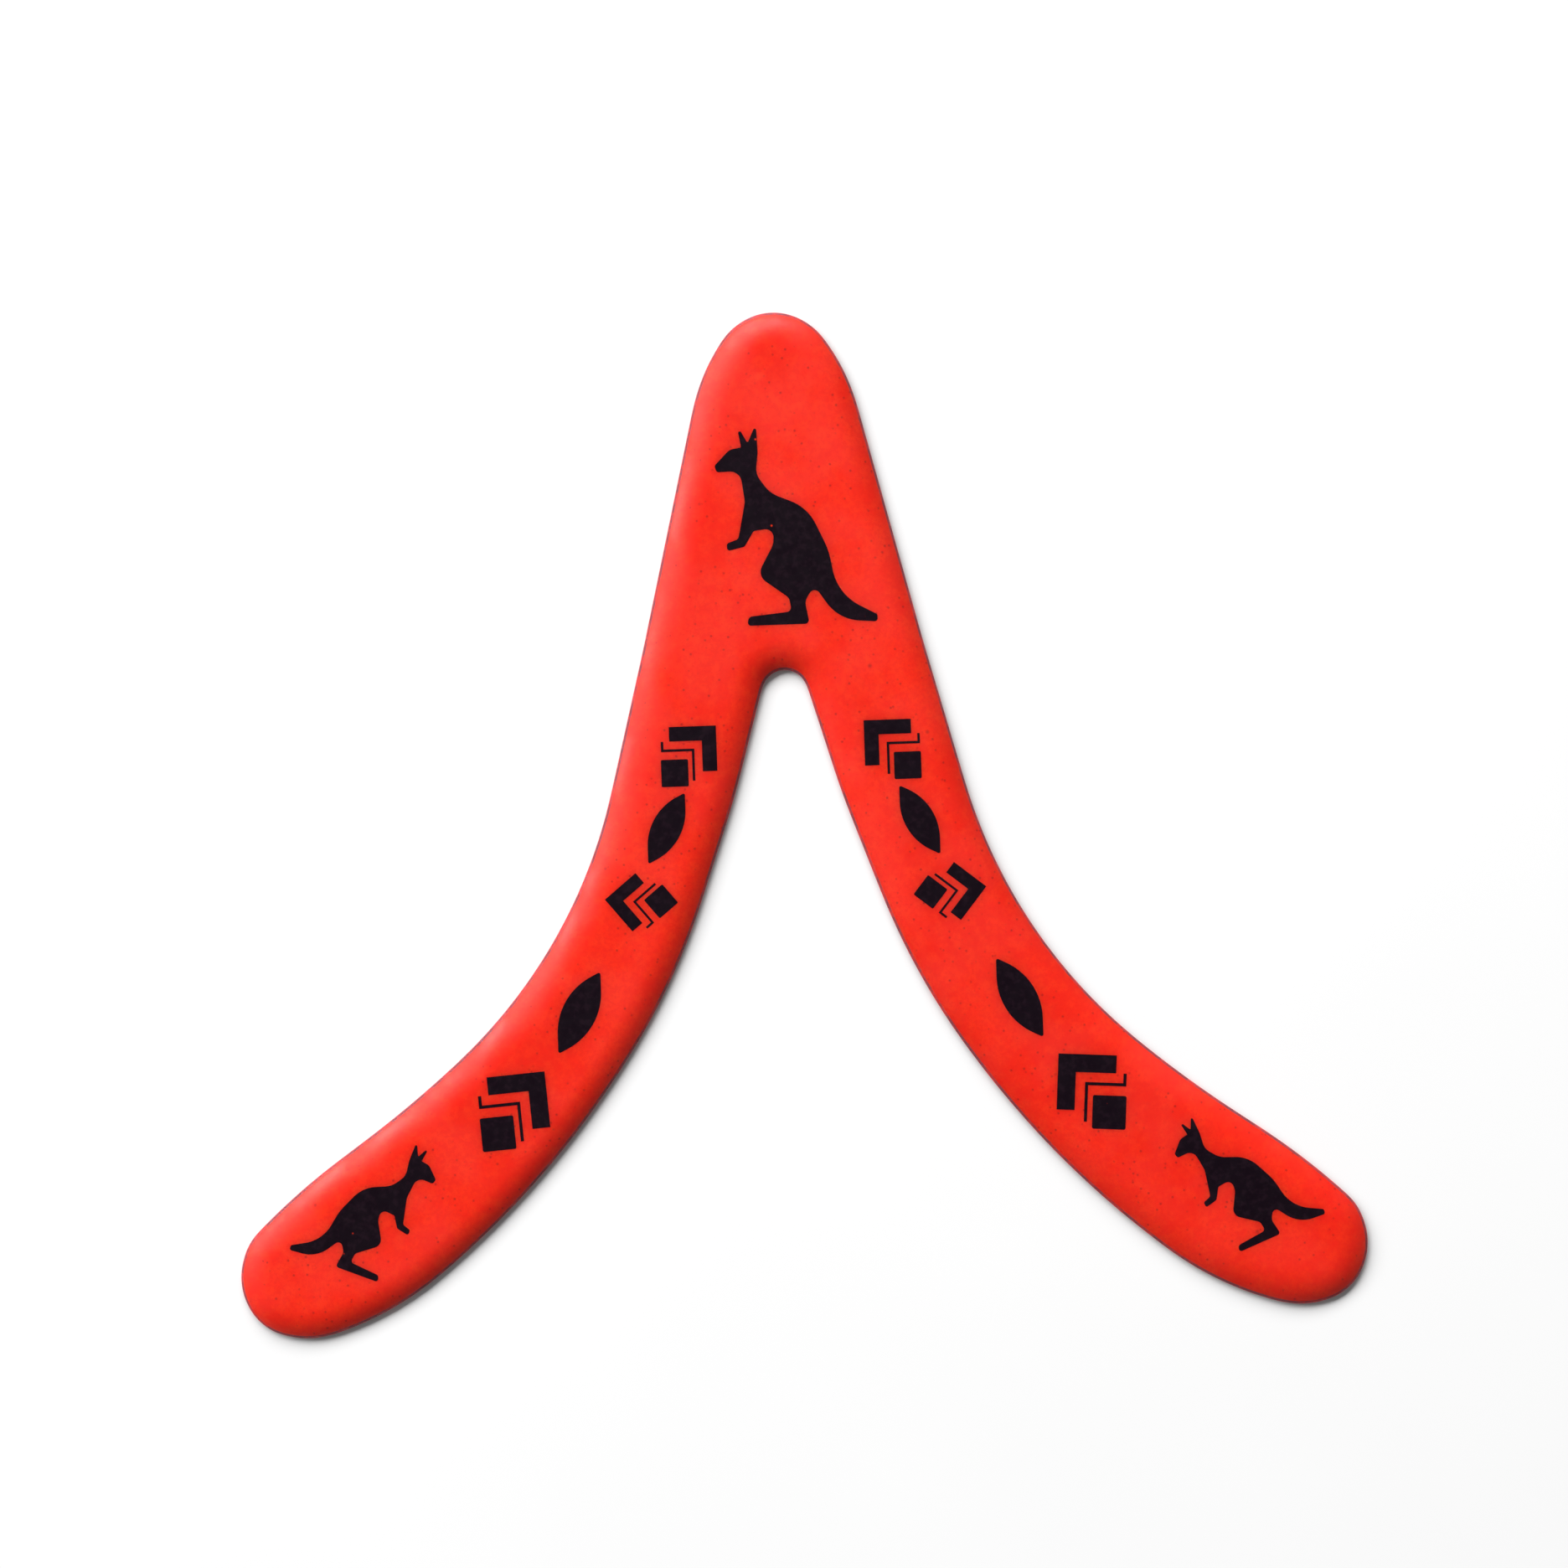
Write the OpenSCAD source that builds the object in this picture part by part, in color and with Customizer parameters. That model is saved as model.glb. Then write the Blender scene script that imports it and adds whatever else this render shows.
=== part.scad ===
// Sports boomerang: one moulded plastic blade with pad-printed marks on its top.
// It lies flat on Z = 0, with its elbow towards +Y and its two arms towards -Y.

/* [Blade] */
// Distance between the outer sides of the two tips
span = 290; // [265:1:320]
// Thickness of the blade at its flat top
thickness = 4; // [3.5:0.1:5]
// Mean width of the sloping shoulder between the rim and the flat top
shoulder_w = 8; // [6:0.1:8.5]
// Shape of the shoulder: 1 is a full round, and 2 is a bevel that curves into the flat top
shoulder_shape = 1.6; // [1:0.1:2]
// Amount by which the shoulder is wider on a trailing edge and narrower on a leading edge
aerofoil_bias = 0.8; // [0:0.1:0.8]
// Height of the rim, which is the widest line round the blade
rim_z = 1.1; // [0.8:0.1:1.5]
// Width of the small round between the underside and the rim
heel_w = 0.9; // [0.5:0.1:1.5]

/* [Printed marks] */
// Thickness of a film of ink
ink_t = 0.06; // [0.03:0.01:0.1]
// Distance by which the whole print is off the centre line, towards +X
print_shift = 1; // [-2:0.5:2]
// Width of the thin stepped line on an emblem of size 1
line_w = 0.7; // [0.4:0.1:0.9]
// Width of the bent bar on an emblem of size 1
bar_w = 4; // [3:0.1:4.5]

/* [Hidden] */
PLASTIC = [0.98, 0.23, 0.15];
INK = [0.12, 0.08, 0.11];

// All outlines are lists of corners, [x, y, radius], drawn in millimetres on this span
DRAWN_SPAN = 290;
grow = span / DRAWN_SPAN;

// Right half of the blade, clockwise from the elbow to the fork
HALF_BLADE = [
    [0, 133, 15],
    [11.5, 125, 14],
    [19, 114, 50],
    [36, 44, 250],
    [56, -33, 135],
    [99.5, -71, 290],
    [129.5, -92, 170],
    [142.5, -104.5, 12],
    [146.5, -115, 16],
    [140.5, -127, 14],
    [128, -131, 22],
    [105, -124, 82],
    [66, -92, 235],
    [31.5, -44, 180],
    [14, 5, 200],
    [0, 53.5, 6],
];

// An emblem is a bent bar, a thin stepped line and a square tile; these are its shapes about its own centre
BAR = [[5, 6], [-6, 6], [-6, -4.5]];
STEPPED_LINE = [[7, 4], [7, 1.5], [-1.5, 1.5], [-1.5, -7]];
TILE = [[7.5, -1, 0.4], [0, -1, 0.4], [0, -8.5, 0.4], [7.5, -8.5, 0.4]];
// A leaf is a plain oval with two pointed ends
LEAF = [[-5, 9, 0.4], [5, 4, 14], [5, -9, 0.4], [-5, -4, 14]];

// Emblems and leaves on the right arm: name, centre, turn and size
EMBLEMS = [
    ["upper", [26.4, 16.5], 0, 0.93],
    ["middle", [39.6, -20.7], -129, 0.83],
    ["lower", [74.5, -73], -4, 1.15],
];
LEAVES = [
    ["upper", [32.5, -2], 0, 1],
    ["lower", [56.5, -48.5], 0, 1.15],
];
SIDES = [["left", -1], ["right", 1]];
// Kangaroos at the elbow and on the right tip, in the same form
ELBOW_KANGAROO = ["elbow", [-4, 83], 0, 1];
TIP_KANGAROO = ["tip", [105.5, -91.5], 22, 0.72];

// A plain standing kangaroo that faces -X, about its shoulder: nose, brow and two ears
KANGAROO = [
    [-13, 7.5, 0.9],
    [-9, 11.5, 3],
    [-6, 12, 0.3],
    [-7, 18, 0.4],
    [-4.3, 13, 0.3],
    [-2, 18, 0.4],
    [-1.8, 10.5, 2],
    // nape, back, rump and tail
    [-2.5, 5, 5],
    [1, 0, 8],
    [10.5, -4, 12],
    [15.5, -15, 20],
    [17.5, -26.5, 13],
    [27.5, -32, 0.8],
    [27.5, -33.8, 0.8],
    [17.5, -33, 11],
    [11.5, -24, 1.5],
    // heel, long foot, shin and knee
    [9, -28, 3],
    [10, -33.8, 1],
    [-6, -33.8, 0.8],
    [-5.5, -31.5, 1.2],
    [5.5, -30.5, 1.2],
    [5, -27, 2],
    [-3, -21, 3],
    [1.5, -13, 5],
    // belly, foreleg, chest, throat and chin
    [1.5, -9, 2],
    [-3.5, -9.5, 1],
    [-6, -13.5, 1],
    [-10.5, -14.5, 0.7],
    [-10.5, -12.5, 0.7],
    [-7.5, -11.5, 1.2],
    [-5.5, -2, 5],
    [-6.5, 6, 3],
    [-12.5, 5.8, 0.8],
];

function mark_name(side, place, piece) = str(side[0], "_", place[0], "_", piece);

// --- Outlines ---

MAX_ARC_STEP = 12;  // degrees between two points of an arc
BLADE_STEP = 6;     // longest side of the blade's outline
MARK_STEP = 1;      // longest side along a mark's arcs

function xy(corner) = [corner.x, corner.y];
function unit(v) = v / norm(v);
function spin(p, angle) = [p.x * cos(angle) - p.y * sin(angle), p.x * sin(angle) + p.y * cos(angle)];
function cross_2d(a, b) = a.x * b.y - a.y * b.x;

// The tangent arc that rounds corner b between its neighbours a and c. Each point is [x, y, and the unit
// vector to the right of the outline's direction], which points into a clockwise outline
function corner_arc(a, b, c, step) =
    let (
        back = unit(xy(a) - xy(b)),
        ahead = unit(xy(c) - xy(b)),
        half_opening = acos(back * ahead) / 2,
        reach = b.z / tan(half_opening),
        centre = xy(b) + unit(back + ahead) * b.z / sin(half_opening),
        start = xy(b) + back * reach - centre,
        end = xy(b) + ahead * reach - centre,
        sweep = atan2(cross_2d(start, end), start * end),
        length = b.z * abs(sweep) * PI / 180,
        steps = max(1, ceil(abs(sweep) / MAX_ARC_STEP), ceil(length / step))
    )
    [
        for (k = [0:steps])
            let (
                angle = sweep * k / steps,
                p = centre + spin(start, angle),
                right = spin(-back, angle - 90)
            )
            [p.x, p.y, right.x, right.y]
    ];

// A closed outline through rounded corners
function rounded(corners, step) =
    let (last = len(corners) - 1)
    [
        for (i = [0:last])
            each corner_arc(corners[i == 0 ? last : i - 1], corners[i], corners[i == last ? 0 : i + 1], step)
    ];

// The same outline with its straight sides cut into pieces no longer than step
function divided(points, step) =
    [
        for (i = [0:len(points) - 1])
            let (
                a = points[i],
                b = points[(i + 1) % len(points)],
                pieces = max(1, ceil(norm(xy(b) - xy(a)) / step))
            )
            for (k = [0:pieces - 1]) a + (b - a) * k / pieces
    ];

// Corners turned about the origin, resized, moved and, on side -1, mirrored
function posed(corners, at, turn, size, side) =
    [
        for (c = corners)
            let (p = spin(xy(c), turn) * size + at)
            [side * p.x, p.y, c.z * size]
    ];

// The outline of a line of even width
function band(line, width) =
    let (
        last = len(line) - 1,
        normals = [for (i = [0:last - 1]) spin(unit(line[i + 1] - line[i]), 90)],
        offsets = [
            for (i = [0:last])
                let (
                    before = normals[max(0, i - 1)],
                    after = normals[min(last - 1, i)]
                )
                (before + after) / (1 + before * after) * width / 2
        ]
    )
    concat(
        [for (i = [0:last]) line[i] + offsets[i]],
        [for (i = [last:-1:0]) line[i] - offsets[i]]
    );

// --- Blade ---

half_corners = [for (c = HALF_BLADE) c * grow];
other_half = [
    for (i = [len(half_corners) - 2:-1:1])
        [-half_corners[i].x, half_corners[i].y, half_corners[i].z]
];
raw_rim = divided(rounded(concat(half_corners, other_half), BLADE_STEP), BLADE_STEP);
raw_y = [for (p = raw_rim) p.y];
middle_y = (max(raw_y) + min(raw_y)) / 2;
rim = [for (p = raw_rim) [p.x, p.y - middle_y]];
rim_count = len(rim);
// The point of the rim that is furthest out on the right tip
tip = search(max([for (p = rim) p.x]), [for (p = rim) p.x])[0];

// Unit vectors that point into the blade at each point of the rim
inward = [for (p = raw_rim) [p[2], p[3]]];

// Seen from above the blade flies anticlockwise, so the leading edges are the right arm's outer one and
// the left arm's inner one: two waves round the rim give both their narrow, blunt shoulder
SHOULDER_WAVES = 2;
shoulder = [
    for (i = [0:rim_count - 1])
        shoulder_w - aerofoil_bias * sin(360 * SHOULDER_WAVES * i / rim_count)
];

HEEL_STEPS = 2;
SHOULDER_STEPS = 5;
heel_angles = [for (k = [HEEL_STEPS:-1:1]) 90 * k / HEEL_STEPS];
shoulder_angles = [for (k = [0:SHOULDER_STEPS]) 90 * k / SHOULDER_STEPS];

function heel_ring(angle) =
    [
        for (i = [0:rim_count - 1])
            let (p = rim[i] + inward[i] * heel_w * (1 - cos(angle)))
            [p.x, p.y, rim_z * (1 - sin(angle))]
    ];

function shoulder_ring(angle) =
    [
        for (i = [0:rim_count - 1])
            let (p = rim[i] + inward[i] * shoulder[i] * (1 - cos(angle)))
            [p.x, p.y, rim_z + (thickness - rim_z) * pow(sin(angle), shoulder_shape)]
    ];

// True when three points of a clockwise outline make a triangle inside it
function inside_turn(p, q, r) = cross_2d(xy(q) - xy(p), xy(r) - xy(p)) < 0;

// Triangles that fill a closed band of points. Two runs leave point b, one each way round, and every step
// joins them across the shorter diagonal, or across the other where the shorter one would leave the band
function zipped(points, a, b, left) =
    left == 0 ? [] :
    let (
        count = len(points),
        next_a = (a + 1) % count,
        next_b = (b + count - 1) % count,
        a_fits = inside_turn(points[a], points[next_a], points[b]),
        b_fits = inside_turn(points[a], points[next_b], points[b]),
        a_shorter = norm(points[next_a] - points[b]) < norm(points[a] - points[next_b]),
        step_a = a_fits && (a_shorter || !b_fits)
    )
    concat(
        [[a, step_a ? next_a : next_b, b]],
        zipped(points, step_a ? next_a : a, step_a ? b : next_b, left - 1)
    );

module blade() {
    rings = concat(
        [for (angle = heel_angles) heel_ring(angle)],
        [for (angle = shoulder_angles) shoulder_ring(angle)]
    );
    points = [for (ring = rings) each ring];
    top = (len(rings) - 1) * rim_count;
    underside = [for (t = zipped(rings[0], tip, tip - 1, rim_count - 2)) [t[2], t[1], t[0]]];
    flat_top = [for (t = zipped(rings[len(rings) - 1], tip, tip - 1, rim_count - 2)) [for (i = t) top + i]];
    walls = [
        for (level = [0:len(rings) - 2], i = [0:rim_count - 1])
            let (
                low = level * rim_count,
                high = low + rim_count,
                next = (i + 1) % rim_count
            )
            each [[low + i, low + next, high + next], [low + i, high + next, high + i]]
    ];
    color(PLASTIC) polyhedron(points, concat(underside, walls, flat_top), convexity = 6);
}

// --- Printed marks: films of ink that lie on the flat top ---

module film(points) {
    color(INK)
        translate([print_shift, -middle_y, thickness])
            linear_extrude(ink_t) polygon([for (p = points) xy(p)]);
}

module shape_mark(shape, place, mirroring) {
    film(rounded(posed(shape, place[1] * grow, place[2], place[3] * grow, mirroring), MARK_STEP));
}

module line_mark(line, width, place, mirroring) {
    corners = posed([for (p = line) [p.x, p.y, 0]], place[1] * grow, place[2], place[3] * grow, mirroring);
    film(band([for (c = corners) xy(c)], width * place[3] * grow));
}

blade();
shape_mark(KANGAROO, ELBOW_KANGAROO, 1);  // elbow_kangaroo
for (side = SIDES) {
    shape_mark(KANGAROO, TIP_KANGAROO, side[1]);
    for (emblem = EMBLEMS) {
        line_mark(BAR, bar_w, emblem, side[1]);
        line_mark(STEPPED_LINE, line_w, emblem, side[1]);
        shape_mark(TILE, emblem, side[1]);
    }
    for (leaf = LEAVES) {
        shape_mark(LEAF, leaf, side[1]);
    }
}
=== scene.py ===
"""Looks of a moulded plastic boomerang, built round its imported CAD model.

Metres, Z up, elbow towards +Y.
"""
import math

import bmesh
import bpy
import numpy as np
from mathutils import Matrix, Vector, geometry, kdtree


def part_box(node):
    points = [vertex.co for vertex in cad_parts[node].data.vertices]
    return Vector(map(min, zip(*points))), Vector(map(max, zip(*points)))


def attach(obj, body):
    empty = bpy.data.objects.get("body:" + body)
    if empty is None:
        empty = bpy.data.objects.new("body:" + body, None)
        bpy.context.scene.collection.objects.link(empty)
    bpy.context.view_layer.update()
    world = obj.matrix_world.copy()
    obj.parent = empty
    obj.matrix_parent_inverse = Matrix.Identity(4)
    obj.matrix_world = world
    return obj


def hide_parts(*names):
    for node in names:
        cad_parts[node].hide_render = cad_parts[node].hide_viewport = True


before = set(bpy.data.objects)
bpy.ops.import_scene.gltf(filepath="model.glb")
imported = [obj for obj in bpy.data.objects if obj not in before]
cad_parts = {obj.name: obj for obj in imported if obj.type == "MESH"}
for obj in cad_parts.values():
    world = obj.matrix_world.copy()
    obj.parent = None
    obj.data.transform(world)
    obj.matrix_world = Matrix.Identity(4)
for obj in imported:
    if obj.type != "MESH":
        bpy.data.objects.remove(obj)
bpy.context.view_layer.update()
MM = 0.001

# --- Sizes of the blade, as the CAD model has them ---

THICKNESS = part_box("blade")[1].z
RIM_Z = 1.1 * MM
HEEL_W = 0.9 * MM
SHOULDER_W = 8 * MM
SHOULDER_SHAPE = 1.6
AEROFOIL_BIAS = 0.8 * MM
SHOULDER_WAVES = 2
SAME_HEIGHT = 1e-6
SAME_PLACE_DIGITS = 7

# --- How finely the visible surface is made ---

RIM_POINTS = 1440
SMOOTHING_WIDTH = 9
HEEL_STEPS = 6
SHOULDER_STEPS = 22
FACE_SPACING = 1.6 * MM
FILM_SPACING = 0.8 * MM
ROW_RATIO = math.sqrt(3) / 2
EDGE_CLEARANCE = 0.5
FILL_TOLERANCE = 1e-9
EJECTOR_POINTS = 48

# --- Small moulded features ---

SINK_DEPTH = 0.05 * MM
SINK_FADE = 6 * MM
PARTING_RIDGE = 0.02 * MM
PARTING_HALF_W = 0.09 * MM
EJECTOR_R = 3 * MM
EJECTOR_DEPTH = 0.12 * MM
EJECTOR_RIM = 0.2 * MM
ELBOW_EJECTOR_DROP = 45 * MM
ARM_EJECTOR_DROPS = (130 * MM, 180 * MM, 232 * MM)
ROW_HALF_HEIGHT = 0.4 * MM
INK_TOP = 0.03 * MM
INK_ROOT = 0.02 * MM


# --- Outlines, read from the CAD model ---

def chained(edges):
    """The points of one closed loop of edges, clockwise from its highest point."""
    links = {}
    for a, b in edges:
        links.setdefault(a, []).append(b)
        links.setdefault(b, []).append(a)
    start = max(links, key=lambda p: p[1])
    loop = [start]
    last, here = start, max(links[start])
    while here != start:
        loop.append(here)
        ahead = [p for p in links[here] if p != last]
        last, here = here, ahead[0]
    return np.array(loop)


def place_key(corner):
    return round(corner.x, SAME_PLACE_DIGITS), round(corner.y, SAME_PLACE_DIGITS)


def edges_at(mesh, z):
    """Each edge at height z, by its two ends, and how many faces that lie at z use it."""
    uses = {}
    for polygon in mesh.polygons:
        corners = [mesh.vertices[i].co for i in polygon.vertices]
        lies_flat = all(abs(c.z - z) < SAME_HEIGHT for c in corners)
        for a, b in zip(corners, corners[1:] + corners[:1]):
            if abs(a.z - z) < SAME_HEIGHT and abs(b.z - z) < SAME_HEIGHT:
                ends = tuple(sorted(place_key(corner) for corner in (a, b)))
                uses[ends] = uses.get(ends, 0) + lies_flat
    return uses


def smooth_loop(points, count):
    """A closed curve through the points as count even places and their inward unit vectors."""
    closed = np.vstack([points, points[:1]])
    steps = np.linalg.norm(np.diff(closed, axis=0), axis=1)
    along = np.concatenate([[0], np.cumsum(steps)])
    even = np.linspace(0, along[-1], count, endpoint=False)
    place = np.column_stack([np.interp(even, along, closed[:, k]) for k in (0, 1)])
    weights = np.hanning(SMOOTHING_WIDTH + 2)[1:-1]
    weights /= weights.sum()
    reach = SMOOTHING_WIDTH // 2
    padded = np.vstack([place[-reach:], place, place[:reach]])
    place = np.column_stack([np.convolve(padded[:, k], weights, "valid") for k in (0, 1)])
    tangent = np.roll(place, -1, axis=0) - np.roll(place, 1, axis=0)
    tangent /= np.linalg.norm(tangent, axis=1)[:, None]
    inward = np.column_stack([tangent[:, 1], -tangent[:, 0]])
    return place, inward


RIM, INWARD = smooth_loop(chained(edges_at(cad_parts["blade"].data, RIM_Z)), RIM_POINTS)
RIM_SHARE = np.arange(RIM_POINTS) / RIM_POINTS
SHOULDER = SHOULDER_W - AEROFOIL_BIAS * np.sin(math.tau * SHOULDER_WAVES * RIM_SHARE)
FLAT_EDGE = RIM + INWARD * SHOULDER[:, None]
UNDER_EDGE = RIM + INWARD * HEEL_W


def tree_of(points):
    tree = kdtree.KDTree(len(points))
    for i, p in enumerate(points):
        tree.insert((p[0], p[1], 0), i)
    tree.balance()
    return tree


RIM_TREE = tree_of(RIM)


# --- Heights of the blade's two faces ---

def eased(share):
    share = min(1, max(0, share))
    return share * share * (3 - 2 * share)


def shoulder_height(depth, width):
    """Height at a depth inside the rim: a slope that curves into the flat top."""
    share = np.clip(1 - depth / width, 0, 1)
    return RIM_Z + (THICKNESS - RIM_Z) * (1 - share ** 2) ** (SHOULDER_SHAPE / 2)


def top_height(x, y):
    """Height of the top: the sloping shoulder, then a flat with slight waves from cooling."""
    _, i, _ = RIM_TREE.find((x, y, 0))
    depth = (x - RIM[i][0]) * INWARD[i][0] + (y - RIM[i][1]) * INWARD[i][1]
    if depth < SHOULDER[i]:
        return float(shoulder_height(depth, SHOULDER[i]))
    waves = (
        math.sin(61 * x + 23 * y + 0.4)
        + math.sin(37 * y - 48 * x + 1.9)
        + 0.6 * math.sin(93 * x - 71 * y + 2.7)
    )
    sink = SINK_DEPTH * (0.5 + 0.19 * waves)
    return THICKNESS - sink * eased((depth - SHOULDER[i]) / SINK_FADE)


def ejector_marks():
    """Places where the mould's pins pushed: one in the elbow and three down each arm."""
    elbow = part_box("blade")[1].y
    places = [Vector((0, elbow - ELBOW_EJECTOR_DROP))]
    right_arm = RIM[:, 0] > 0
    for drop in ARM_EJECTOR_DROPS:
        y = elbow - drop
        crossing = np.abs(RIM[:, 1] - y) < ROW_HALF_HEIGHT
        across = RIM[crossing & right_arm][:, 0]
        x = (across.min() + across.max()) / 2
        places += [Vector((x, y)), Vector((-x, y))]
    return places


EJECTORS = ejector_marks()


def underside_height(x, y):
    """The underside is flat, apart from the shallow round marks of the ejector pins."""
    near = min((Vector((x, y)) - p).length for p in EJECTORS)
    return EJECTOR_DEPTH * eased((EJECTOR_R - near) / EJECTOR_RIM)


# --- Meshes ---

def inside_points(edge, spacing):
    """A staggered grid of points inside a closed edge, clear of it by half a spacing."""
    tree = tree_of(edge)
    low, high = edge.min(axis=0), edge.max(axis=0)
    following = np.roll(edge, -1, axis=0)
    found = []
    for row in range(1, int((high[1] - low[1]) / (spacing * ROW_RATIO)) + 1):
        y = low[1] + row * spacing * ROW_RATIO
        crossing = (edge[:, 1] > y) != (following[:, 1] > y)
        a, b = edge[crossing], following[crossing]
        cuts = sorted(a[:, 0] + (y - a[:, 1]) * (b[:, 0] - a[:, 0]) / (b[:, 1] - a[:, 1]))
        stagger = 0.5 * (row % 2)
        for left, right in zip(cuts[0::2], cuts[1::2]):
            for column in range(math.floor(left / spacing), math.ceil(right / spacing) + 1):
                x = (column + stagger) * spacing
                if left < x < right and tree.find((x, y, 0))[2] > spacing * EDGE_CLEARANCE:
                    found.append((x, y))
    return found


def filled(edge, spacing, extra=()):
    """Places and triangles that fill a closed edge; the edge's own places come first."""
    count = len(edge)
    flat = [Vector(p) for p in edge] + [Vector(p) for p in inside_points(edge, spacing)]
    flat += [Vector(p) for p in extra]
    sides = [(i, (i + 1) % count) for i in range(count)]
    result = geometry.delaunay_2d_cdt(flat, sides, [], 1, FILL_TOLERANCE)
    places, _, triangles, origins, _, _ = result
    number = {}
    for i, sources in enumerate(origins):
        for source in sources:
            if source < count:
                number[i] = source
    order = sorted(range(len(places)), key=lambda i: (number.get(i, count), i))
    rank = {i: k for k, i in enumerate(order)}
    turned = []
    for a, b, c in triangles:
        left = (places[b] - places[a]).cross(places[c] - places[a]) > 0
        turned.append((rank[a], rank[b], rank[c]) if left else (rank[a], rank[c], rank[b]))
    return [places[i] for i in order], turned


def ring_of_vertices(bm, points, heights):
    return [bm.verts.new((p[0], p[1], z)) for p, z in zip(points, heights)]


def joined(bm, low, high):
    """A band of quads between two rings that run clockwise, facing outwards."""
    count = len(low)
    for i in range(count):
        j = (i + 1) % count
        bm.faces.new((low[j], low[i], high[i], high[j]))


def capped(bm, ring, edge, spacing, height, faces_up, extra=()):
    """Fills a ring with triangles at the given heights."""
    places, triangles = filled(edge, spacing, extra)
    inner = [bm.verts.new((p.x, p.y, height(p.x, p.y))) for p in places[len(edge):]]
    vertices = ring + inner
    for triangle in triangles:
        corners = [vertices[i] for i in triangle]
        bm.faces.new(corners if faces_up else corners[::-1])


def piece_from(bm, name):
    mesh = bpy.data.meshes.new(name)
    bm.to_mesh(mesh)
    bm.free()
    piece = bpy.data.objects.new(name, mesh)
    bpy.context.scene.collection.objects.link(piece)
    return piece


# --- Blade ---

def blade_rings():
    """Places and heights of each ring, from the underside's edge over the rim to the flat top."""
    rings = []
    for k in range(HEEL_STEPS):
        angle = math.pi / 2 * (1 - k / HEEL_STEPS)
        flat = RIM + INWARD * HEEL_W * (1 - math.cos(angle))
        rings.append((flat, np.full(RIM_POINTS, RIM_Z * (1 - math.sin(angle)))))
    rings.append((RIM, np.full(RIM_POINTS, RIM_Z - PARTING_HALF_W)))
    rings.append((RIM - INWARD * PARTING_RIDGE, np.full(RIM_POINTS, RIM_Z)))
    rings.append((RIM, np.full(RIM_POINTS, RIM_Z + PARTING_HALF_W)))
    for k in range(1, SHOULDER_STEPS + 1):
        angle = math.pi / 2 * k / SHOULDER_STEPS
        depth = SHOULDER * (1 - math.cos(angle))
        rings.append((RIM + INWARD * depth[:, None], shoulder_height(depth, SHOULDER)))
    return rings


def ejector_points():
    """Circles of points that give each ejector mark a crisp round edge."""
    radii = (EJECTOR_R, EJECTOR_R - EJECTOR_RIM / 2, EJECTOR_R - EJECTOR_RIM)
    angles = [math.tau * k / EJECTOR_POINTS for k in range(EJECTOR_POINTS)]
    return [
        place + Vector((math.cos(angle), math.sin(angle))) * radius
        for place in EJECTORS
        for radius in radii
        for angle in angles
    ]


def make_blade():
    bm = bmesh.new()
    rings = [ring_of_vertices(bm, flat, heights) for flat, heights in blade_rings()]
    for low, high in zip(rings, rings[1:]):
        joined(bm, low, high)
    capped(bm, rings[-1], FLAT_EDGE, FACE_SPACING, top_height, True)
    capped(bm, rings[0], UNDER_EDGE, FACE_SPACING, underside_height, False, ejector_points())
    for face in bm.faces:
        face.smooth = True
    return piece_from(bm, "blade_skin")


# --- Printed marks: thin films that follow the blade's surface ---

def divided(points, spacing):
    """A closed outline with its sides cut into pieces no longer than spacing."""
    out = []
    for a, b in zip(points, np.roll(points, -1, axis=0)):
        pieces = max(1, math.ceil(np.linalg.norm(b - a) / spacing))
        out += [a + (b - a) * k / pieces for k in range(pieces)]
    return np.array(out)


def make_film(node):
    uses = edges_at(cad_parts[node].data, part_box(node)[1].z)
    border = [ends for ends, count in uses.items() if count == 1]
    edge = divided(chained(border), FILM_SPACING)
    area = np.sum(edge[:, 0] * np.roll(edge[:, 1], -1) - np.roll(edge[:, 0], -1) * edge[:, 1])
    if area > 0:
        edge = edge[::-1]
    surface = [top_height(*p) for p in edge]
    bm = bmesh.new()
    low = ring_of_vertices(bm, edge, [z - INK_ROOT for z in surface])
    high = ring_of_vertices(bm, edge, [z + INK_TOP for z in surface])
    joined(bm, low, high)
    capped(bm, high, edge, FILM_SPACING, lambda x, y: top_height(x, y) + INK_TOP, True)
    capped(bm, low, edge, FILM_SPACING, lambda x, y: top_height(x, y) - INK_ROOT, False)
    return piece_from(bm, node + "_print")


# --- Materials ---

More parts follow.
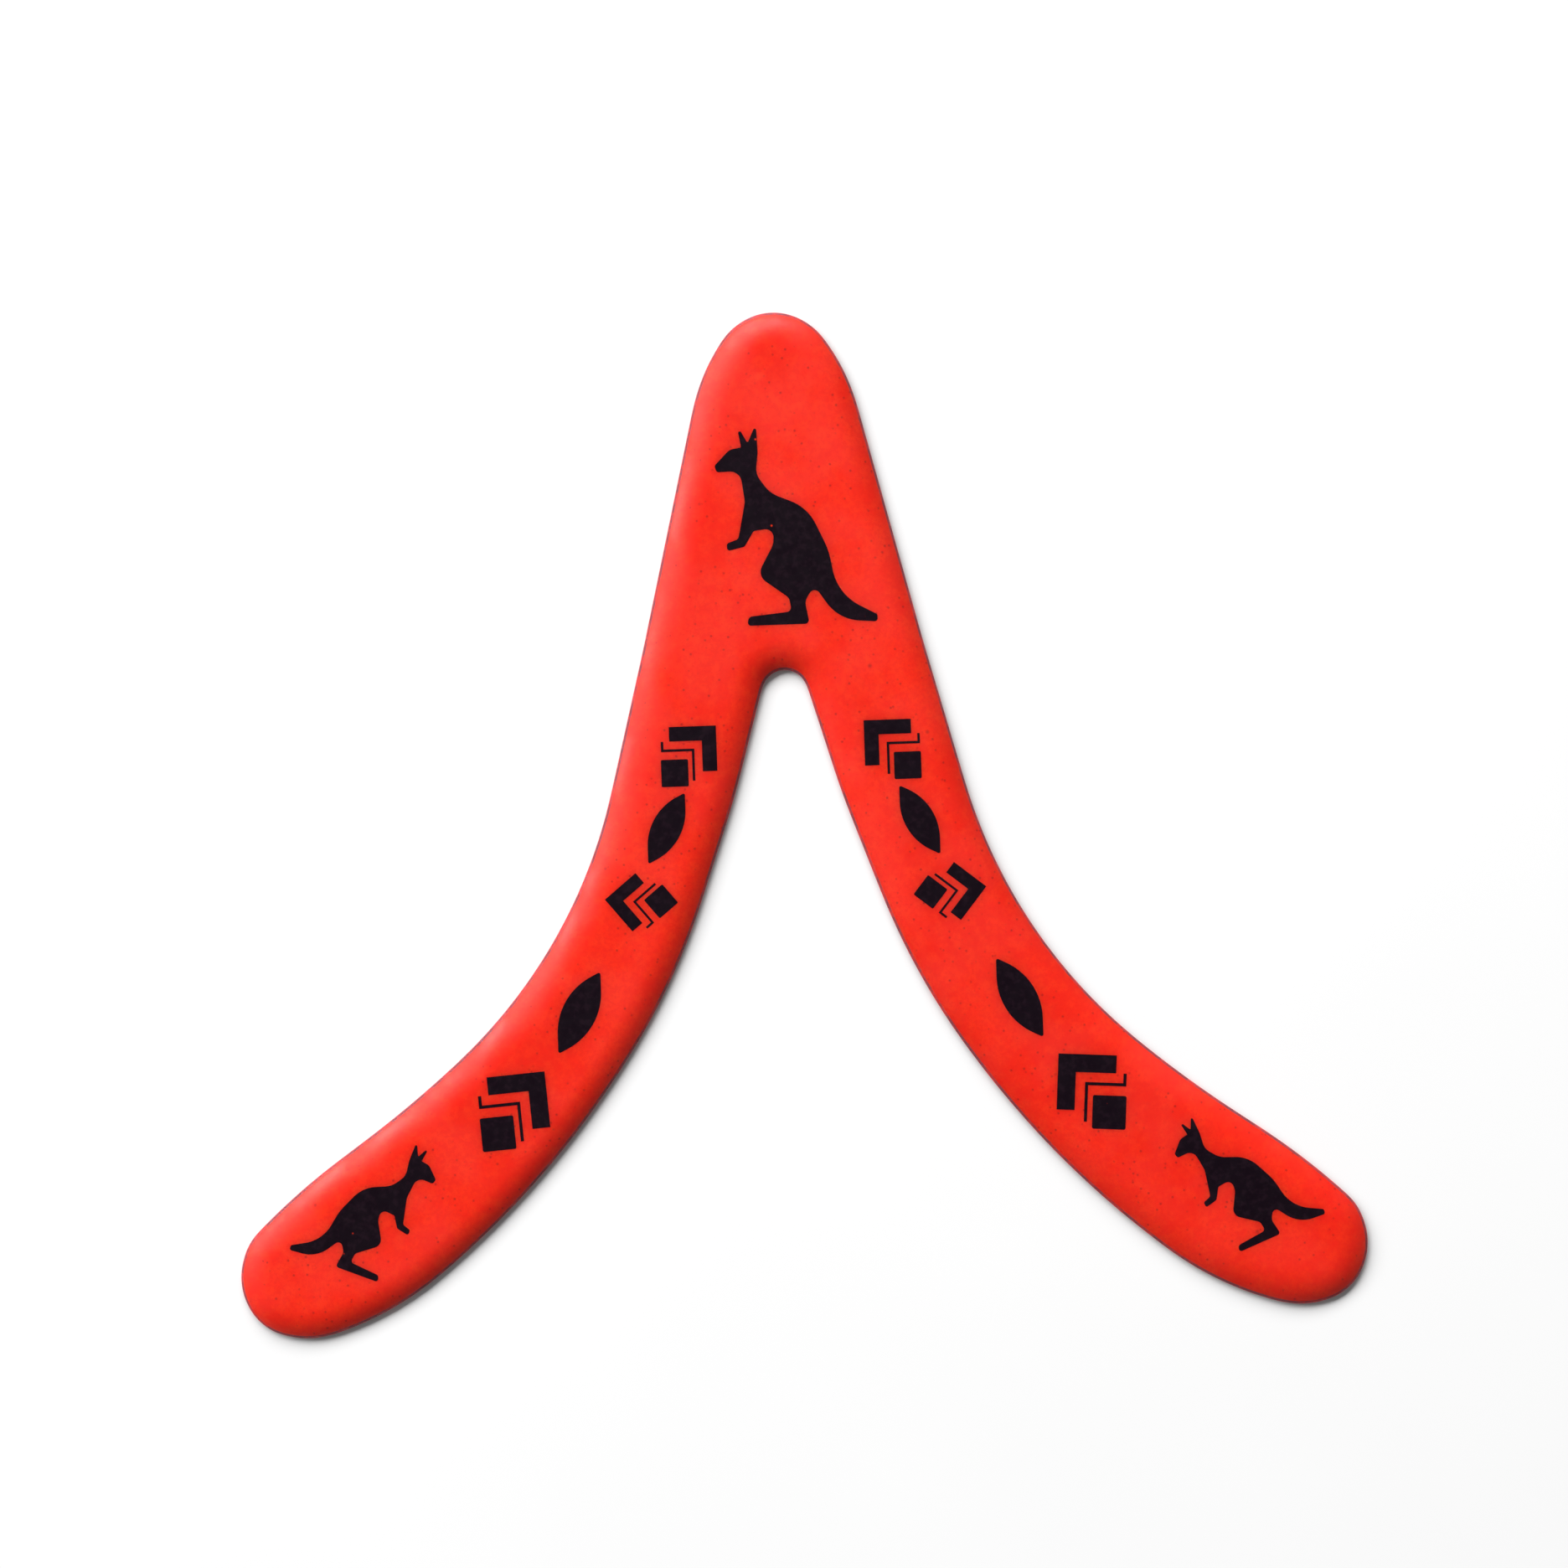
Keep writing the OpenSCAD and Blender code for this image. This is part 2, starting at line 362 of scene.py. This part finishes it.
class Graph:
    """A material's nodes, made and linked in one call each."""

    def __init__(self, name):
        self.material = bpy.data.materials.new(name)
        self.material.use_nodes = True
        self.tree = self.material.node_tree
        self.tree.nodes.clear()
        self.place = self.add("ShaderNodeTexCoord").outputs["Object"]

    def add(self, kind, inputs=None, **settings):
        node = self.tree.nodes.new(kind)
        for name, value in settings.items():
            setattr(node, name, value)
        for name, value in (inputs or {}).items():
            if isinstance(value, bpy.types.NodeSocket):
                self.tree.links.new(value, node.inputs[name])
            else:
                node.inputs[name].default_value = value
        return node

    def noise(self, size, detail=2.0, roughness=0.5, distortion=0.0):
        """Noise whose features are about size metres across, from 0 to 1."""
        inputs = {
            "Vector": self.place,
            "Scale": 1 / size,
            "Detail": detail,
            "Roughness": roughness,
            "Distortion": distortion,
        }
        return self.add("ShaderNodeTexNoise", inputs).outputs["Fac"]

    def specks(self, spacing, radius):
        """Small round spots, 1 at the centre and 0 outside, one to each cell of the spacing."""
        cells = self.add("ShaderNodeTexVoronoi", {"Vector": self.place, "Scale": 1 / spacing})
        return self.ramp(cells.outputs["Distance"], radius / spacing, 0.0)

    def patchy_specks(self, spacing, radius, patch_size, patch_low, patch_high):
        """Specks that show only in patches, where a slower noise is high."""
        specks = self.specks(spacing, radius)
        patches = self.ramp(self.noise(patch_size), patch_low, patch_high)
        return self.math("MULTIPLY", specks, patches)

    def ramp(self, value, low, high, to_low=0.0, to_high=1.0):
        """Maps low..high smoothly to to_low..to_high."""
        inputs = {"Value": value, "To Min": to_low, "To Max": to_high}
        inputs.update({"From Min": low, "From Max": high})
        smooth = {"interpolation_type": "SMOOTHSTEP", "clamp": True}
        node = self.add("ShaderNodeMapRange", inputs, **smooth)
        return node.outputs["Result"]

    def math(self, operation, a, b):
        node = self.add("ShaderNodeMath", operation=operation)
        for socket, value in zip(node.inputs, (a, b)):
            if isinstance(value, bpy.types.NodeSocket):
                self.tree.links.new(value, socket)
            else:
                socket.default_value = value
        return node.outputs["Value"]

    def mixed(self, share, first, second):
        """A colour between two colours."""
        node = self.add("ShaderNodeMix", data_type="RGBA")
        self.tree.links.new(share, node.inputs["Factor"])
        for name, value in (("A", first), ("B", second)):
            socket = next(s for s in node.inputs if s.name == name and s.type == "RGBA")
            if isinstance(value, bpy.types.NodeSocket):
                self.tree.links.new(value, socket)
            else:
                socket.default_value = (*value, 1)
        return next(s for s in node.outputs if s.type == "RGBA")

    def finish(self, inputs):
        """Feeds the shader and gives the finished material."""
        shader = self.add("ShaderNodeBsdfPrincipled", inputs)
        self.add("ShaderNodeOutputMaterial", {"Surface": shader.outputs["BSDF"]})
        return self.material


def bumps(graph, layers):
    """A normal that carries several layers of height, each [height, depth in metres]."""
    normal = None
    for height, depth in layers:
        inputs = {"Height": height, "Strength": 1.0, "Distance": depth}
        if normal is not None:
            inputs["Normal"] = normal
        normal = graph.add("ShaderNodeBump", inputs).outputs["Normal"]
    return normal


PLASTIC_RED = (0.81, 0.0180, 0.0023)
PLASTIC_DEEP = (0.73, 0.0088, 0.0016)
PLASTIC_PALE = (0.86, 0.0360, 0.0054)
SPECK_RED = (0.27, 0.0022, 0.0022)
# The dark rim colour below is painted shade along the edge, not the plastic's own colour.
PAINTED_RIM_SHADE = (0.11, 0.045, 0.060)
INK_BLACK = (0.0046, 0.0014, 0.0040)
INK_WORN = (0.0116, 0.0044, 0.0088)
FLOOR_DARKER = (0.77, 0.77, 0.77)
FLOOR_LIGHTER = (0.79, 0.79, 0.79)

# Noise layers: size of the features, detail, roughness and, for some, distortion.
CLOUDS = (26 * MM, 3, 0.55, 0.4)
MOTTLE = (3.4 * MM, 3, 0.6)
PIGMENT = (0.9 * MM, 2, 0.7)
RIM_SHADE_PATCHES = (5 * MM, 4, 0.7)
SHEEN = (17 * MM, 3, 0.6)
SCRATCHES = (0.9 * MM, 6, 0.75, 3.5)
GRAIN = (0.42 * MM, 3, 0.6)
ORANGE_PEEL = (2.2 * MM, 2, 0.5)
INK_THIN_PLACES = (1.7 * MM, 4, 0.65)
INK_SHEEN = (2.5 * MM, 3, 0.6)
INK_GRAIN = (0.3 * MM, 3, 0.6)
FLOOR_SHADE = 90 * MM

# Specks: spacing, radius, size of their patches, and the noise at which a patch fades in.
FINE_SPECKS = (2.1 * MM, 0.50 * MM, 7 * MM, 0.40, 0.50)
LARGE_SPECKS = (8 * MM, 0.85 * MM, 15 * MM, 0.42, 0.50)
PINHOLES = (6 * MM, 0.42 * MM, 16 * MM, 0.50, 0.56)

# Ramps: the noise from and to which a value goes from its first to its last figure.
CLOUD_RAMP = (0.40, 0.60, 0, 0.55)
MOTTLE_RAMP = (0.42, 0.64, 0, 0.40)
PIGMENT_RAMP = (0.42, 0.62, 0, 0.55)
RIM_SHADE_RAMP = (0.36, 0.56, 0.55, 0.95)
ROUGHNESS_RAMP = (0.38, 0.62, 0.40, 0.56)
INK_THIN_RAMP = (0.46, 0.66, 0, 0.7)
INK_ROUGHNESS_RAMP = (0.35, 0.65, 0.46, 0.60)

SPECK_SHARE = 0.75
PINHOLE_SHARE = 0.8
# Height band of the painted dark rim shade, and how much rougher its worn patches are.
RIM_SHADE_FROM_Z = (0.2 * MM, 0.6 * MM)
RIM_SHADE_TO_Z = (1.60 * MM, 1.82 * MM)
RIM_WEAR_ROUGHER = 0.16
PEEL_DEPTH = 0.016 * MM
GRAIN_DEPTH = 0.014 * MM
SCRATCH_DEPTH = 0.005 * MM
INK_GRAIN_DEPTH = 0.006 * MM

PLASTIC_IOR = 1.49
PLASTIC_SPECULAR = 0.34
GLOW_SHARE = 0.9
GLOW_RADIUS = (0.0070, 0.0004, 0.0002)
INK_IOR = 1.45
INK_SPECULAR = 0.09
FLOOR_ROUGHNESS = 0.9
FLOOR_SPECULAR = 0.1


def plastic():
    """Red-orange plastic, satin from the mould, with pigment specks and a dark rim band that is
    painted edge shade, patchy like wear.
    """
    g = Graph("plastic_red")
    clouds = g.ramp(g.noise(*CLOUDS), *CLOUD_RAMP)
    colour = g.mixed(clouds, PLASTIC_RED, PLASTIC_DEEP)
    mottle = g.ramp(g.noise(*MOTTLE), *MOTTLE_RAMP)
    colour = g.mixed(mottle, colour, PLASTIC_PALE)
    pigment = g.ramp(g.noise(*PIGMENT), *PIGMENT_RAMP)
    colour = g.mixed(pigment, colour, PLASTIC_DEEP)
    specks = g.math("MAXIMUM", g.patchy_specks(*FINE_SPECKS), g.patchy_specks(*LARGE_SPECKS))
    colour = g.mixed(g.math("MULTIPLY", specks, SPECK_SHARE), colour, SPECK_RED)
    # A dark band round the rim, from about 0.2 mm to 1.8 mm up, is painted shade along the edge,
    # made patchy like wear; there it is also rougher.
    height = g.add("ShaderNodeSeparateXYZ", {"Vector": g.place}).outputs["Z"]
    above_underside = g.ramp(height, *RIM_SHADE_FROM_Z)
    near_rim = g.math("MULTIPLY", above_underside, g.ramp(height, *RIM_SHADE_TO_Z[::-1]))
    rim_shade_and_wear = g.math("MULTIPLY", near_rim, g.ramp(g.noise(*RIM_SHADE_PATCHES), *RIM_SHADE_RAMP))
    colour = g.mixed(rim_shade_and_wear, colour, PAINTED_RIM_SHADE)
    roughness = g.ramp(g.noise(*SHEEN), *ROUGHNESS_RAMP)
    roughness = g.math("ADD", roughness, g.math("MULTIPLY", rim_shade_and_wear, RIM_WEAR_ROUGHER))
    scratches = g.noise(*SCRATCHES)
    grain = g.noise(*GRAIN)
    orange_peel = g.noise(*ORANGE_PEEL)
    layers = [(orange_peel, PEEL_DEPTH), (grain, GRAIN_DEPTH), (scratches, SCRATCH_DEPTH)]
    normal = bumps(g, layers)
    return g.finish({
        "Base Color": colour,
        "Roughness": roughness,
        "IOR": PLASTIC_IOR,
        "Specular IOR Level": PLASTIC_SPECULAR,
        "Subsurface Weight": GLOW_SHARE,
        "Subsurface Radius": GLOW_RADIUS,
        "Subsurface Scale": 1.0,
        "Normal": normal,
    })


def ink():
    """Purplish-black pad-printing ink with tiny pinholes and thin places."""
    g = Graph("ink_black")
    thin = g.ramp(g.noise(*INK_THIN_PLACES), *INK_THIN_RAMP)
    colour = g.mixed(thin, INK_BLACK, INK_WORN)
    pinholes = g.patchy_specks(*PINHOLES)
    colour = g.mixed(g.math("MULTIPLY", pinholes, PINHOLE_SHARE), colour, PLASTIC_PALE)
    roughness = g.ramp(g.noise(*INK_SHEEN), *INK_ROUGHNESS_RAMP)
    grain = g.noise(*INK_GRAIN)
    normal = bumps(g, [(grain, INK_GRAIN_DEPTH)])
    return g.finish({
        "Base Color": colour,
        "Roughness": roughness,
        "IOR": INK_IOR,
        "Specular IOR Level": INK_SPECULAR,
        "Normal": normal,
    })


def floor_white():
    g = Graph("floor_white")
    shade = g.mixed(g.noise(FLOOR_SHADE), FLOOR_DARKER, FLOOR_LIGHTER)
    return g.finish({
        "Base Color": shade,
        "Roughness": FLOOR_ROUGHNESS,
        "Specular IOR Level": FLOOR_SPECULAR,
    })


# --- The object ---

def make_object():
    plastic_material = plastic()
    ink_material = ink()
    skin = make_blade()
    skin.data.materials.append(plastic_material)
    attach(skin, "root")
    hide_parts("blade")
    for node in sorted(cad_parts):
        if node == "blade":
            continue
        film = make_film(node)
        film.data.materials.append(ink_material)
        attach(film, "root")
        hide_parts(node)


# --- Camera, lights and floor ---

FRAME_WIDTH = 0.403
CAMERA_AIM = Vector((-0.0010, 0.0084, 0.002))
CAMERA_ROLL = math.radians(-2)
LENS = 85
SENSOR = 36
CLIP_START = 0.01
FLOOR_HALF = 8
KEY_DISTANCE = 5.0
KEY_AZIMUTH = math.radians(120)
KEY_ELEVATION = math.radians(33)
KEY_WIDTH = 12.5
KEY_HEIGHT = 2.2
KEY_POWER = 850
FILL_COLOUR = (1, 1, 1, 1)
FILL_STRENGTH = 0.18


def make_camera():
    data = bpy.data.cameras.new("camera")
    data.lens = LENS
    data.sensor_width = SENSOR
    data.clip_start = CLIP_START
    camera = bpy.data.objects.new("camera", data)
    camera.location = CAMERA_AIM + Vector((0, 0, FRAME_WIDTH * LENS / SENSOR))
    camera.rotation_euler = (0, 0, CAMERA_ROLL)
    bpy.context.scene.collection.objects.link(camera)
    bpy.context.scene.camera = camera


def make_lights():
    data = bpy.data.lights.new("key", "AREA")
    data.shape = "ELLIPSE"
    data.size = KEY_WIDTH
    data.size_y = KEY_HEIGHT
    data.energy = KEY_POWER
    key = bpy.data.objects.new("key", data)
    level = math.cos(KEY_ELEVATION)
    away = Vector((
        math.cos(KEY_AZIMUTH) * level,
        math.sin(KEY_AZIMUTH) * level,
        math.sin(KEY_ELEVATION),
    ))
    key.location = away * KEY_DISTANCE
    key.rotation_euler = (-away).to_track_quat("-Z", "Y").to_euler()
    bpy.context.scene.collection.objects.link(key)
    world = bpy.data.worlds.new("studio")
    world.use_nodes = True
    background = world.node_tree.nodes["Background"]
    background.inputs["Color"].default_value = FILL_COLOUR
    background.inputs["Strength"].default_value = FILL_STRENGTH
    bpy.context.scene.world = world


def make_floor():
    bm = bmesh.new()
    corners = [(-1, -1), (1, -1), (1, 1), (-1, 1)]
    bm.faces.new([bm.verts.new((x * FLOOR_HALF, y * FLOOR_HALF, 0)) for x, y in corners])
    floor = piece_from(bm, "floor")
    floor.data.materials.append(floor_white())


make_object()
make_camera()
make_lights()
make_floor()
bpy.context.scene.view_settings.view_transform = "Standard"
